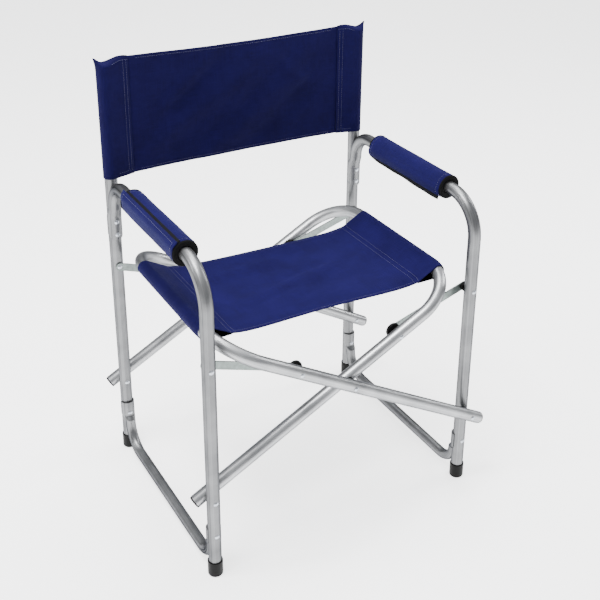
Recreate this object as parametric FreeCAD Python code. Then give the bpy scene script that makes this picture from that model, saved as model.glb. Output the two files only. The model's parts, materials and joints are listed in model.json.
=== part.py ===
import FreeCAD, Part
import math
import os

Vector = FreeCAD.Vector

# A folding director chair. Millimetres, +Z up, the sitter looks along -Y.
# The shapes are drawn with y = 0 at the front feet. ORIGIN_Y then moves the origin back to the
# middle of the chair's depth, on the floor and midway between the two side frames.
# "left" is -X. Seat frame "a" carries the left seat rail and stands on the right side frame;
# seat frame "b" carries the right seat rail and stands on the left side frame.

# --- driving dimensions -------------------------------------------------------------------------
FOOT_SPACING_X = 507.5      # between the leg axes at the floor, left to right
FOOT_SPACING_Y = 385.0      # between the leg axes at the floor, front to back
ORIGIN_Y = 195.8            # from the front feet to the origin
SIDE_LEAN = 0.69            # degrees that each side frame leans inwards
FRONT_LEAN = 1.89           # degrees that the front legs lean backwards
REAR_LEAN = 0.63            # degrees that the rear uprights lean backwards
ARM_HEIGHT = 562.0          # axis of the arm rail
UPRIGHT_TOP = 760.0         # end of the rear upright tube
TUBE_R = 11.0               # main tube, 22 mm outside
STRETCHER_R = 9.5           # lower stretcher, 19 mm outside
WALL = 1.2                  # tube wall
ARM_FRONT_BEND = 67.0
ARM_REAR_BEND = 45.0
SEAT_BEND = 80.0

PIVOT_HEIGHT = 152.0        # seat frame pivots, measured up the legs
OPEN_ANGLE = 29.9           # seat frame arms above the horizontal
RAIL_REACH = {"a": 265.0, "b": 252.0}   # from the crossing pivot to the seat rail
TAIL = 24.0                 # seat frame tube past its leg pivot
PLUG_LENGTH = 14.0          # how deep a plug sits in its tube
PLUG_HEAD = 2.2             # height of an upright plug's head
LEG_GAP = 1.4               # between a leg and the seat frame tube that passes it
CROSSING_GAP = 3.0          # between the two seat frame tubes where they cross
LINK_HEIGHT = 400.0         # link pivots, measured up the legs
LINK_REACH = 116.0          # from the crossing pivot to a link's pivot on the seat frame
LINK_WIDTH = 14.0
LINK_THICK = 2.5
OPEN_PIVOT_GAP = 1.4        # between a link's spacer and the seat frame tube
BAR_GAP = 0.15              # between a link and the head or spacer beside it

SADDLE_R = 12.7             # outside of a tube end pressed to a crescent on a leg
SADDLE_OFFSET = 2.4         # its centre, off the leg's axis
FIT = 0.03                  # between a saddle, cap or sleeve and its tube
RIVET_R = 2.5
RIVET_HEAD_R = 4.2
RIVET_HEAD_H = 1.7
SHANK_IN_HEAD = 0.8         # how far a shank reaches into its heads
PIN_CLEARANCE = 0.05        # radial, where a part turns on a pin
HEAD_GAP = 0.35             # between a rivet head and a tube that turns under it
SPACER_R = 13.0             # between a link and a seat frame tube
LEG_SPACER_R = 8.5          # between a link and a leg
PIVOT_WASHER = (7.0, 0.7)   # radius and thickness
CROSSING_WASHER = (9.0, 2.0)
CRANK_ENDS = (14.0, 16.0)   # a cranked link is flat this far from its leg and tube pivots
BORE_FRONT = -60.0          # drilled holes start ahead of every part
BORE_BACK = 465.0           # and end behind every part

PAD_LENGTH = 204.0          # armrest cover
PAD_FRONT = {"left": 87.0, "right": 101.0}      # its front end; the pads slide on the rails
FOAM_OVERHANG = 3.5         # how far the foam stands out of the cover at each end
FOAM_R = 18.0
COVER_R = 20.4
CLOTH = 1.5                 # thickness given to the woven cloth
SEAT_Y = (62.0, 305.0)      # seat cloth on the rails
SEAT_FLAP = 44.0            # rail axis to the sewn line
SEAT_SAG = 14.0
BACK_Z = (567.0, 772.0)     # back cloth
BACK_FLAP = 42.0

X = Vector(1, 0, 0)
Y = Vector(0, 1, 0)
Z = Vector(0, 0, 1)
SIDES = {"left": -1, "right": 1}


# --- general shapes -----------------------------------------------------------------------------
def bent_path(points, radii):
    """A wire of straight runs joined by tangent arcs of the given radii."""
    edges = []
    start = points[0]
    for before, corner, after, radius in zip(points, points[1:], points[2:], radii):
        back = (before - corner).normalize()
        ahead = (after - corner).normalize()
        half_angle = back.getAngle(ahead) / 2
        tangent = radius / math.tan(half_angle)
        first = corner + back * tangent
        last = corner + ahead * tangent
        bisector = (back + ahead).normalize()
        middle = corner + bisector * (radius / math.sin(half_angle) - radius)
        edges.append(Part.LineSegment(start, first).toShape())
        edges.append(Part.Arc(first, middle, last).toShape())
        start = last
    edges.append(Part.LineSegment(start, points[-1]).toShape())
    return Part.Wire(edges)


def tube(points, radii, outer, wall=WALL):
    """A bent round tube, open at both ends."""
    path = bent_path(points, radii)
    along = points[1] - points[0]
    rings = [Part.Wire(Part.makeCircle(r, points[0], along)) for r in (outer, outer - wall)]
    outside, inside = [path.makePipe(Part.Face(ring)) for ring in rings]
    return outside.cut(inside)


def rod(start, end, radius):
    return Part.makeCylinder(radius, (end - start).Length, start, end - start)


def ring(start, end, outer, inner):
    return rod(start, end, outer).cut(rod(start, end, inner))


def domed_head(base, along, formed_on=None):
    """A low domed rivet head on base that points along, pressed onto a round tube if one is given."""
    dome_r = (RIVET_HEAD_R ** 2 + RIVET_HEAD_H ** 2) / (2 * RIVET_HEAD_H)
    ball = Part.makeSphere(dome_r, base + along * (RIVET_HEAD_H - dome_r))
    dome = ball.common(rod(base, base + along * (RIVET_HEAD_H + 1), RIVET_HEAD_R + 1))
    if formed_on is None:
        return dome
    skirt = rod(base - along * 1.2, base, RIVET_HEAD_R)
    return dome.fuse(skirt).cut(formed_on)


def rivet(start, end, start_tube=None, end_tube=None):
    """A shank from start to end with a domed head at each end."""
    along = (end - start).normalize()
    heads = [domed_head(start, along * -1, start_tube), domed_head(end, along, end_tube)]
    return rod(start - along * SHANK_IN_HEAD, end + along * SHANK_IN_HEAD, RIVET_R).fuse(heads)


def prism(outline, depth):
    return Part.Face(Part.makePolygon(outline + [outline[0]])).extrude(depth)


def group(shapes):
    return Part.makeCompound(shapes)


# --- places in a side frame ----------------------------------------------------------------------
# A side frame is drawn standing in the plane x = 0, then leaned and moved to its side.
class Leg:
    """A straight leg: its own y runs across it, its own z runs up it."""

    def __init__(self, foot_y, lean):
        self.foot = Vector(0, foot_y, 0)
        self.up = Vector(0, math.sin(math.radians(lean)), math.cos(math.radians(lean)))
        self.across = Vector(0, self.up.z, -self.up.y)

    def at(self, across, height):
        return self.foot + self.across * across + self.up * height

    def level(self, across, z):
        """The point at world height z on the line that runs up the leg at across."""
        return self.at(across, (z - self.across.z * across) / self.up.z)


FRONT_LEG = Leg(0, FRONT_LEAN)
REAR_LEG = Leg(FOOT_SPACING_Y, REAR_LEAN)
LEAN = math.radians(SIDE_LEAN)


def to_side(shape, side):
    """Leans a side frame's shape inwards and moves it to its side."""
    placed = shape.copy()
    placed.rotate(Vector(0, 0, 0), Y, -SIDES[side] * SIDE_LEAN)
    placed.translate(X * (SIDES[side] * FOOT_SPACING_X / 2))
    return placed


def side_point(side, height):
    """World x and z of a point at height up the side frame."""
    x = FOOT_SPACING_X / 2 - height * math.sin(LEAN)
    return SIDES[side] * x, height * math.cos(LEAN)


# --- places in the seat frames --------------------------------------------------------------------
PIVOT_X, PIVOT_Z = side_point("right", PIVOT_HEIGHT)
SLOPE = math.tan(math.radians(OPEN_ANGLE))
CROSSING_Z = PIVOT_Z + PIVOT_X * SLOPE
LEG_OFFSET = 2 * TUBE_R + LEG_GAP
CROSSING_OFFSET = TUBE_R + CROSSING_GAP / 2
TOE = (LEG_OFFSET - CROSSING_OFFSET) / PIVOT_X
PIVOT_Y = {"front": FRONT_LEG.level(0, PIVOT_HEIGHT).y, "rear": REAR_LEG.level(0, PIVOT_HEIGHT).y}
FRAME_SIGN = {"a": 1, "b": -1}      # the side of the frame's feet


def seat_arm(frame, arm, x):
    """The point at x on the axis of a seat frame's front or rear arm."""
    sign = FRAME_SIGN[frame]
    y = PIVOT_Y[arm] - sign * CROSSING_OFFSET - TOE * x
    return Vector(x, y, CROSSING_Z - sign * SLOPE * x)


def reach_x(frame, reach):
    """World x at a distance from the crossing pivot towards the seat rail."""
    return -FRAME_SIGN[frame] * reach * math.cos(math.radians(OPEN_ANGLE))


# --- side frame parts -----------------------------------------------------------------------------
def saddle(leg, facing, offset, radius, start, wrap, end):
    """A tube end pressed to a crescent that hugs a leg.

    facing is -1 on the front of the leg and 1 behind it. The tube is round at start, offset from
    the leg's axis, reaches its pressed shape at wrap, and stops at end.
    """
    sections = []
    for count in range(9):
        step = count / 8
        blend = step * step * (3 - 2 * step)
        height = start + (wrap - start) * step
        across = facing * (offset + (SADDLE_OFFSET - offset) * blend)
        ring_r = radius + (SADDLE_R - radius) * blend
        sections.append(Part.Wire(Part.makeCircle(ring_r, leg.at(across, height), leg.up)))
    neck = Part.makeLoft(sections, True, True)
    crescent = facing * SADDLE_OFFSET
    sleeve = rod(leg.at(crescent, wrap), leg.at(crescent, end), SADDLE_R)
    low, high = min(start, end) - 5, max(start, end) + 5
    leg_space = rod(leg.at(0, low), leg.at(0, high), TUBE_R + FIT)
    far_half = prism(
        [leg.at(0, low), leg.at(-facing * 40, low), leg.at(-facing * 40, high), leg.at(0, high)],
        X * 80,
    )
    far_half.translate(X * -40)
    return neck.fuse(sleeve).cut(leg_space).cut(far_half)


def rounded_tongue(end, length):
    """What to keep of the arm's saddle: seen from the front its end has rounded corners."""
    corner_r, half = 9.0, 20.0
    width = SADDLE_R - corner_r
    low, high = Vector(0, -half, 0), Vector(0, half, 0)
    corners = [rod(point + low, point + high, corner_r)
               for point in (Vector(-width, 0, end + corner_r), Vector(width, 0, end + corner_r))]
    middle = Part.makeBox(2 * width, 2 * half, length, Vector(-width, -half, end))
    upper = Part.makeBox(60, 2 * half, length, Vector(-30, -half, end + corner_r))
    tongue = middle.fuse([upper, *corners])
    tongue.translate(Y * REAR_LEG.at(-SADDLE_OFFSET, end).y)
    return tongue


def drill(leg, height, radius=RIVET_R):
    """The hole across a leg at a height, along the leg's own y."""
    return rod(leg.at(-40, height), leg.at(40, height), radius)


def pivot_hole(height, radius):
    """A level hole through both legs of a side frame."""
    return rod(Vector(0, BORE_FRONT, height), Vector(0, BORE_BACK, height), radius)


ARM_SADDLE = {"start": 516.0, "wrap": 494.0, "end": 455.0}
ARM_SADDLE_OFFSET = 10.0
ARM_RIVETS = (488.0, 464.0)
STRETCHER_HEIGHT = 19.0
STRETCHER_REAR = {"start": 68.5, "wrap": 79.5, "end": 107.0}
STRETCHER_FRONT = {"start": 58.0, "wrap": 70.0, "end": 97.0}
STRETCHER_OFFSET = 13.0
STRETCHER_BENDS = (48.0, 36.0)
STRETCHER_RIVET = 84.0
TUBE_FOOT = 3.0


def arm_tube():
    """Front leg, front bend, arm rail and rear bend in one tube, pressed onto the rear upright."""
    points = [
        FRONT_LEG.at(0, TUBE_FOOT),
        FRONT_LEG.level(0, ARM_HEIGHT),
        REAR_LEG.level(-ARM_SADDLE_OFFSET, ARM_HEIGHT),
        REAR_LEG.at(-ARM_SADDLE_OFFSET, ARM_SADDLE["start"]),
    ]
    bent = tube(points, [ARM_FRONT_BEND, ARM_REAR_BEND], TUBE_R)
    upright_space = rod(REAR_LEG.at(0, 400), REAR_LEG.at(0, 700), TUBE_R + FIT)
    pressed = saddle(REAR_LEG, -1, ARM_SADDLE_OFFSET, TUBE_R, **ARM_SADDLE)
    pressed = pressed.common(rounded_tongue(ARM_SADDLE["end"], 80))
    whole = bent.cut(upright_space).fuse(pressed)
    for height in ARM_RIVETS:
        whole = whole.cut(drill(REAR_LEG, height))
    front_drill = drill(FRONT_LEG, STRETCHER_RIVET)
    return whole.cut([front_drill, pivot_hole(PIVOT_HEIGHT, RIVET_R), pivot_hole(LINK_HEIGHT, RIVET_R)])


def rear_upright():
    """The straight tube from the rear foot to the top of the back."""
    straight = ring(REAR_LEG.at(0, TUBE_FOOT), REAR_LEG.at(0, UPRIGHT_TOP), TUBE_R, TUBE_R - WALL)
    holes = [drill(REAR_LEG, height) for height in (*ARM_RIVETS, STRETCHER_RIVET)]
    holes += [pivot_hole(height, RIVET_R) for height in (PIVOT_HEIGHT, LINK_HEIGHT)]
    return straight.cut(holes)


def lower_stretcher():
    """The low tube that ties the two legs, both ends turned up and pressed onto them."""
    points = [
        REAR_LEG.at(-STRETCHER_OFFSET, STRETCHER_REAR["start"]),
        REAR_LEG.level(-STRETCHER_OFFSET, STRETCHER_HEIGHT),
        FRONT_LEG.level(STRETCHER_OFFSET, STRETCHER_HEIGHT),
        FRONT_LEG.at(STRETCHER_OFFSET, STRETCHER_FRONT["start"]),
    ]
    bent = tube(points, STRETCHER_BENDS, STRETCHER_R)
    leg_spaces = [rod(leg.at(0, 0), leg.at(0, 130), TUBE_R + FIT) for leg in (FRONT_LEG, REAR_LEG)]
    rear = saddle(REAR_LEG, -1, STRETCHER_OFFSET, STRETCHER_R, **STRETCHER_REAR)
    front = saddle(FRONT_LEG, 1, STRETCHER_OFFSET, STRETCHER_R, **STRETCHER_FRONT)
    drills = [drill(leg, STRETCHER_RIVET) for leg in (FRONT_LEG, REAR_LEG)]
    return bent.cut(leg_spaces).fuse([rear, front]).cut(drills)


def foot_cap(leg):
    """A moulded cap that the tube end stands in, rounded at the sole."""
    outer, height, sink, sole_round, lip = 12.9, 29.0, 1.0, 4.0, 0.6
    body = rod(leg.at(0, -sink), leg.at(0, height), outer)
    sole_edge = min(body.Edges, key=lambda edge: edge.CenterOfMass.z)
    lip_edge = max(body.Edges, key=lambda edge: edge.CenterOfMass.z)
    body = body.makeFillet(sole_round, [sole_edge]).makeChamfer(lip, [lip_edge])
    return body.cut(rod(leg.at(0, TUBE_FOOT - FIT), leg.at(0, height + 1), TUBE_R + FIT))


def on_floor(shape):
    """Trims what would reach below the floor, which leaves a flat sole."""
    box = shape.BoundBox
    below = Part.makeBox(100, 100, 20, Vector(box.Center.x - 50, box.Center.y - 50, -20))
    return shape.cut(below)


def upright_plug():
    """A moulded plug in the top of a rear upright: a stem and a thin rounded head."""
    top = REAR_LEG.at(0, UPRIGHT_TOP)
    head = rod(top, REAR_LEG.at(0, UPRIGHT_TOP + PLUG_HEAD), TUBE_R)
    rim = max(head.Edges, key=lambda edge: edge.CenterOfMass.z)
    stem = rod(REAR_LEG.at(0, UPRIGHT_TOP - PLUG_LENGTH), top, TUBE_R - WALL - FIT)
    return head.makeFillet(1.2, [rim]).fuse(stem)


def frame_rivets():
    """Two rivets in the arm saddle and one in each end of the stretcher."""
    crown = SADDLE_OFFSET + SADDLE_R
    places = [(REAR_LEG, -1, height) for height in (*ARM_RIVETS, STRETCHER_RIVET)]
    places.append((FRONT_LEG, 1, STRETCHER_RIVET))
    rivets = []
    for leg, facing, height in places:
        low, high = height - 10, height + 10
        crescent = facing * SADDLE_OFFSET
        saddle_space = rod(leg.at(crescent, low), leg.at(crescent, high), SADDLE_R)
        leg_space = rod(leg.at(0, low), leg.at(0, high), TUBE_R)
        ends = leg.at(facing * crown, height), leg.at(-facing * TUBE_R, height)
        rivets.append(rivet(*ends, saddle_space, leg_space))
    return group(rivets)


def leg_solid(arm, height):
    """The outside of a leg near a height."""
    leg = {"front": FRONT_LEG, "rear": REAR_LEG}[arm]
    return rod(leg.at(0, height - 15), leg.at(0, height + 15), TUBE_R)


def seat_tube_y(side, arm):
    """Axis y of the seat frame tube that is pivoted to this side frame's leg."""
    frame = "a" if side == "right" else "b"
    x, _ = side_point(side, PIVOT_HEIGHT)
    return seat_arm(frame, arm, x).y


def pivot_rivets(side):
    """The two pins on which a seat frame turns, through the leg and the seat frame tube."""
    pins = []
    for arm, y_leg in PIVOT_Y.items():
        y_seat = seat_tube_y(side, arm)
        outwards = 1 if y_leg > y_seat else -1
        at_leg = Vector(0, y_leg + outwards * TUBE_R, PIVOT_HEIGHT)
        at_seat = Vector(0, y_seat - outwards * (TUBE_R + HEAD_GAP), PIVOT_HEIGHT)
        pins.append(rivet(at_leg, at_seat, leg_solid(arm, PIVOT_HEIGHT)))
    return group(pins)


def pivot_washers(side):
    """A thin washer in each gap between a leg and the seat frame tube."""
    radius, thick = PIVOT_WASHER
    washers = []
    for arm, y_leg in PIVOT_Y.items():
        middle = (y_leg + seat_tube_y(side, arm)) / 2
        start, end = [Vector(0, middle + half, PIVOT_HEIGHT) for half in (-thick / 2, thick / 2)]
        washers.append(ring(start, end, radius, RIVET_R))
    return group(washers)


def armrest_ring(side, outer, inner, overhang=0):
    """A ring on the arm rail as long as the armrest cover, or longer by overhang at both ends."""
    start = Vector(0, PAD_FRONT[side] - overhang, ARM_HEIGHT)
    end = Vector(0, PAD_FRONT[side] + PAD_LENGTH + overhang, ARM_HEIGHT)
    return ring(start, end, outer, inner)


def armrest_closure(side):
    """The hook-and-loop strip along the armrest cover's overlap."""
    angle = {"left": 120.0, "right": 213.0}[side]
    strip = armrest_ring(side, COVER_R + 1.4, COVER_R + 0.1)
    reach, half_width = 60.0, 10.0
    corners = [Vector(0, 0, ARM_HEIGHT)]
    for turn in (-half_width, half_width):
        a = math.radians(angle + turn)
        corners.append(Vector(reach * math.cos(a), 0, ARM_HEIGHT + reach * math.sin(a)))
    return strip.common(prism(corners, Y * 400))


# --- links ----------------------------------------------------------------------------------------
# Each link runs from a leg to the seat frame that stands on the other side frame.
# leg_y and tube_y are the bar's front face at its two ends, cranked where they differ.
LINKS = {
    "front_left": {"side": "left", "frame": "a", "arm": "front", "leg_y": 24.9, "tube_y": 14.3},
    "front_right": {"side": "right", "frame": "b", "arm": "front", "leg_y": 31.0, "tube_y": 31.0},
    "rear_left": {"side": "left", "frame": "a", "arm": "rear", "leg_y": 375.4, "tube_y": 359.0},
    "rear_right": {"side": "right", "frame": "b", "arm": "rear", "leg_y": 375.4, "tube_y": 375.4},
}


def link_ends(link):
    """World x and z of a link's pivots, on its leg and on its seat frame tube."""
    leg_x, leg_z = side_point(link["side"], LINK_HEIGHT)
    tube_point = seat_arm(link["frame"], link["arm"], reach_x(link["frame"], LINK_REACH))
    return Vector(leg_x, 0, leg_z), Vector(tube_point.x, 0, tube_point.z)


def link_bar(link):
    """A flat bar with round ends and a pin hole in each."""
    leg_end, tube_end = link_ends(link)
    length = (tube_end - leg_end).Length
    along = (tube_end - leg_end).normalize()
    across = along.cross(Y)
    half = LINK_WIDTH / 2
    steps = [
        (-half - 1, link["leg_y"]),
        (CRANK_ENDS[0], link["leg_y"]),
        (length - CRANK_ENDS[1], link["tube_y"]),
        (length + half + 1, link["tube_y"]),
    ]
    near = [leg_end + along * s + Y * y for s, y in steps]
    far = [point + Y * LINK_THICK for point in reversed(near)]
    bar = prism(near + far, across * LINK_WIDTH)
    bar.translate(across * -half)
    low = Y * (min(link["leg_y"], link["tube_y"]) - 5)
    tall = Y * 40
    outline = prism([leg_end + low - across * half, tube_end + low - across * half,
                     tube_end + low + across * half, leg_end + low + across * half], tall)
    ends = [rod(end + low, end + low + tall, half) for end in (leg_end, tube_end)]
    holes = [rod(leg_end + low, leg_end + low + tall, RIVET_R + PIN_CLEARANCE),
             rod(tube_end + low, tube_end + low + tall, RIVET_R)]
    return bar.common(outline.fuse(ends)).cut(holes)


def toward_tube(link):
    """1 where the seat frame tube lies behind the bar, -1 where it lies in front of it."""
    y_tube = seat_arm(link["frame"], link["arm"], link_ends(link)[1].x).y
    return 1 if y_tube > link["tube_y"] else -1


def link_spacer(link):
    """The black spacer between a bar and the seat frame tube."""
    _, tube_end = link_ends(link)
    sign = toward_tube(link)
    y_tube = seat_arm(link["frame"], link["arm"], tube_end.x).y - sign * (TUBE_R + OPEN_PIVOT_GAP)
    y_bar = link["tube_y"] + (LINK_THICK if sign > 0 else 0)
    low, high = sorted((y_tube, y_bar))
    body = rod(tube_end + Y * low, tube_end + Y * high, SPACER_R)
    return body.makeFillet(1.0, [e for e in body.Edges if e.Curve.TypeId == "Part::GeomCircle"])


def link_rivet(link):
    """The short rivet that closes the bar's hole at the spacer."""
    _, tube_end = link_ends(link)
    sign = toward_tube(link)
    near = link["tube_y"] + (LINK_THICK if sign > 0 else 0)
    outer = link["tube_y"] + (0 if sign > 0 else LINK_THICK)
    shank = rod(tube_end + Y * min(near, outer), tube_end + Y * max(near, outer), RIVET_R)
    return shank.fuse(domed_head(tube_end + Y * outer, Y * -sign))


def leg_link_rivets(side):
    """The pins in one side frame on which its two links turn."""
    pins = []
    for link in LINKS.values():
        if link["side"] != side:
            continue
        leg = FRONT_LEG if link["arm"] == "front" else REAR_LEG
        y_leg = leg.level(0, LINK_HEIGHT).y
        behind = link["leg_y"] > y_leg
        y_bar = link["leg_y"] + (LINK_THICK + BAR_GAP if behind else -BAR_GAP)
        y_face = y_leg + (-TUBE_R if behind else TUBE_R)
        at_leg, at_bar = Vector(0, y_face, LINK_HEIGHT), Vector(0, y_bar, LINK_HEIGHT)
        pins.append(rivet(at_leg, at_bar, leg_solid(link["arm"], LINK_HEIGHT)))
    return group(pins)


def leg_spacer():
    """The spacer between the front right leg and its link."""
    start = FRONT_LEG.level(0, LINK_HEIGHT).y + TUBE_R + HEAD_GAP
    end = LINKS["front_right"]["leg_y"] - BAR_GAP
    return ring(Vector(0, start, LINK_HEIGHT), Vector(0, end, LINK_HEIGHT), LEG_SPACER_R, RIVET_R)


# --- seat frames ----------------------------------------------------------------------------------
def seat_frame_points(frame):
    """The corners of a seat frame's axis, from its front end round the seat rail to its rear end."""
    foot_x = FRAME_SIGN[frame] * (PIVOT_X + TAIL * math.cos(math.radians(OPEN_ANGLE)))
    rail_x = reach_x(frame, RAIL_REACH[frame])
    places = ("front", foot_x), ("front", rail_x), ("rear", rail_x), ("rear", foot_x)
    return [seat_arm(frame, arm, x) for arm, x in places]


def seat_frame_tube(frame):
    """Two arms joined by the seat rail, all in one sloping plane."""
    sign = FRAME_SIGN[frame]
    bent = tube(seat_frame_points(frame), [SEAT_BEND, SEAT_BEND], TUBE_R)
    crossing_fit = PIN_CLEARANCE if frame == "a" else 0
    link_x = reach_x(frame, LINK_REACH)
    bores = [(sign * PIVOT_X, PIVOT_Z, RIVET_R + PIN_CLEARANCE),
             (0, CROSSING_Z, RIVET_R + crossing_fit),
             (link_x, seat_arm(frame, "front", link_x).z, RIVET_R)]
    holes = [rod(Vector(x, BORE_FRONT, z), Vector(x, BORE_BACK, z), r) for x, z, r in bores]
    return bent.cut(holes)


def seat_frame_plugs(frame):
    """A plug in each of the two tube ends, just short of flush."""
    sign = FRAME_SIGN[frame]
    foot_x = sign * (PIVOT_X + TAIL * math.cos(math.radians(OPEN_ANGLE)))
    plugs = []
    for arm in PIVOT_Y:
        end = seat_arm(frame, arm, foot_x)
        inwards = (seat_arm(frame, arm, 0) - end).normalize()
        plugs.append(rod(end + inwards * 0.4, end + inwards * PLUG_LENGTH, TUBE_R - WALL - FIT))
    return group(plugs)


def seat_tube_solid(frame, arm, x):
    """The outside of a seat frame's arm near x."""
    return rod(seat_arm(frame, arm, x - 12), seat_arm(frame, arm, x + 12), TUBE_R)


def seat_link_rivets(frame):
    """The rivets that show on the seat frame tube where its links join."""
    rivets = []
    for link in LINKS.values():
        if link["frame"] != frame:
            continue
        point = seat_arm(frame, link["arm"], link_ends(link)[1].x)
        away = Y * toward_tube(link)
        crown, inner = point + away * TUBE_R, point - away * (TUBE_R - 0.3)
        head = domed_head(crown, away, seat_tube_solid(frame, link["arm"], point.x))
        rivets.append(rod(inner, crown + away * SHANK_IN_HEAD, RIVET_R).fuse(head))
    return group(rivets)


def crossing_rivets():
    """The two pins on which the seat frames cross."""
    pins = []
    for arm in PIVOT_Y:
        front, back = seat_arm("a", arm, 0), seat_arm("b", arm, 0)
        ends = back + Y * TUBE_R, front - Y * (TUBE_R + HEAD_GAP)
        pins.append(rivet(*ends, seat_tube_solid("b", arm, 0)))
    return group(pins)


def crossing_washers():
    radius, thick = CROSSING_WASHER
    washers = []
    for arm in PIVOT_Y:
        middle = (seat_arm("a", arm, 0) + seat_arm("b", arm, 0)) * 0.5
        washers.append(ring(middle - Y * (thick / 2), middle + Y * (thick / 2), radius, RIVET_R))
    return group(washers)


# --- cloth ----------------------------------------------------------------------------------------
INNER_CLOTH = TUBE_R + 0.15
SEAM_GAP = 0.4


def cloth_leaf(axis_start, axis_end, direction, reach):
    """The doubled flap of a sleeve, from beside its tube out to the sewn line."""
    normal = (axis_end - axis_start).normalize().cross(direction)
    near = direction * (INNER_CLOTH + 0.3)
    far = direction * reach
    corners = [near - normal * CLOTH, far - normal * CLOTH, far + normal * CLOTH, near + normal * CLOTH]
    return prism([axis_start + corner for corner in corners], axis_end - axis_start)


def rail_point(frame, y):
    point = seat_arm(frame, "front", reach_x(frame, RAIL_REACH[frame]))
    return Vector(point.x, y, point.z)


FLAP_DROP = math.radians(14.0)      # the seat's flaps slope down from the rails


def seat_flap_direction(frame):
    return Vector(FRAME_SIGN[frame] * math.cos(FLAP_DROP), 0, -math.sin(FLAP_DROP))


def seat_sleeve(frame):
    """A pocket round the seat rail and the start of its bends, with its flap."""
    points = seat_frame_points(frame)
    pocket = tube(points, [SEAT_BEND, SEAT_BEND], INNER_CLOTH + CLOTH, CLOTH)
    rail_space = tube(points, [SEAT_BEND, SEAT_BEND], INNER_CLOTH, INNER_CLOTH - 1)
    slab = Part.makeBox(800, SEAT_Y[1] - SEAT_Y[0], 600, Vector(-400, SEAT_Y[0], 100))
    start, end = [rail_point(frame, y) for y in SEAT_Y]
    leaf = cloth_leaf(start, end, seat_flap_direction(frame), SEAT_FLAP)
    return pocket.common(slab).fuse(leaf.cut(rail_space))


def seat_panel():
    """The sagging middle of the seat, between the two sewn lines."""
    left, right = [rail_point(frame, SEAT_Y[0]) + seat_flap_direction(frame) * (SEAT_FLAP + SEAM_GAP)
                   for frame in ("a", "b")]
    middle = (left + right) * 0.5 - Z * (SEAT_SAG - SEAT_FLAP * math.sin(FLAP_DROP))
    edges = []
    for lift in (-CLOTH, CLOTH):
        edges.append(Part.Arc(left + Z * lift, middle + Z * lift, right + Z * lift).toShape())
    for end in (left, right):
        edges.append(Part.LineSegment(end - Z * CLOTH, end + Z * CLOTH).toShape())
    outline = Part.Wire(Part.__sortEdges__(edges))
    return Part.Face(outline).extrude(Y * (SEAT_Y[1] - SEAT_Y[0]))


def back_sleeve(side):
    """A pocket round a rear upright, with its flap."""
    start, end = [REAR_LEG.at(0, height) for height in BACK_Z]
    leaf = cloth_leaf(start, end, X * -SIDES[side], BACK_FLAP)
    return ring(start, end, INNER_CLOTH + CLOTH, INNER_CLOTH).fuse(leaf)


def back_panel():
    """The middle of the back, between the two sewn lines."""
    corners = []
    for height in BACK_Z:
        point = REAR_LEG.at(0, height)
        half = FOOT_SPACING_X / 2 - height * math.sin(LEAN) - BACK_FLAP * math.cos(LEAN) - SEAM_GAP
        corners.append([Vector(sign * half, point.y, point.z) for sign in (-1, 1)])
    (a, b), (d, c) = corners
    panel = prism([a, b, c, d], REAR_LEG.across * (2 * CLOTH))
    panel.translate(REAR_LEG.across * -CLOTH)
    return panel


# --- the nodes ------------------------------------------------------------------------------------
def side_nodes(side):
    drawn = {
        "arm_tube": arm_tube(),
        "rear_upright": rear_upright(),
        "lower_stretcher": lower_stretcher(),
        "upright_plug": upright_plug(),
        "frame_rivets": frame_rivets(),
        "pivot_rivets": pivot_rivets(side),
        "pivot_washers": pivot_washers(side),
        "link_rivets": leg_link_rivets(side),
        "armrest_foam": armrest_ring(side, FOAM_R, INNER_CLOTH, FOAM_OVERHANG),
        "armrest_cover": armrest_ring(side, COVER_R, FOAM_R + 0.1),
        "armrest_closure": armrest_closure(side),
        "back_sleeve": back_sleeve(side),
    }
    nodes = {f"{side}_{name}": to_side(shape, side) for name, shape in drawn.items()}
    for name, leg in (("front_foot_cap", FRONT_LEG), ("rear_foot_cap", REAR_LEG)):
        nodes[f"{side}_{name}"] = on_floor(to_side(foot_cap(leg), side))
    return nodes


def seat_nodes(frame):
    return {
        f"seat_frame_{frame}_tube": seat_frame_tube(frame),
        f"seat_frame_{frame}_plugs": seat_frame_plugs(frame),
        f"seat_frame_{frame}_link_rivets": seat_link_rivets(frame),
        f"seat_sleeve_{'left' if frame == 'a' else 'right'}": seat_sleeve(frame),
    }


def link_nodes(name, link):
    return {
        f"link_{name}_bar": link_bar(link),
        f"link_{name}_spacer": link_spacer(link),
        f"link_{name}_rivet": link_rivet(link),
    }


def all_nodes():
    nodes = {}
    for side in SIDES:
        nodes.update(side_nodes(side))
    for frame in FRAME_SIGN:
        nodes.update(seat_nodes(frame))
    for name, link in LINKS.items():
        nodes.update(link_nodes(name, link))
    nodes["right_leg_spacer"] = to_side(leg_spacer(), "right")
    nodes["crossing_rivets"] = crossing_rivets()
    nodes["crossing_washers"] = crossing_washers()
    nodes["seat_panel"] = seat_panel()
    nodes["back_panel"] = back_panel()
    return nodes


def main():
    os.makedirs("parts", exist_ok=True)
    for name, shape in all_nodes().items():
        shape = shape.removeSplitter()
        shape.translate(Y * -ORIGIN_Y)
        if not shape.isValid():
            raise ValueError(f"{name} is not a valid shape")
        shape.exportStep(f"parts/{name}.step")


main()
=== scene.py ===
import json
import math

import bpy
import numpy as np
from mathutils import Matrix, Vector, noise


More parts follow.
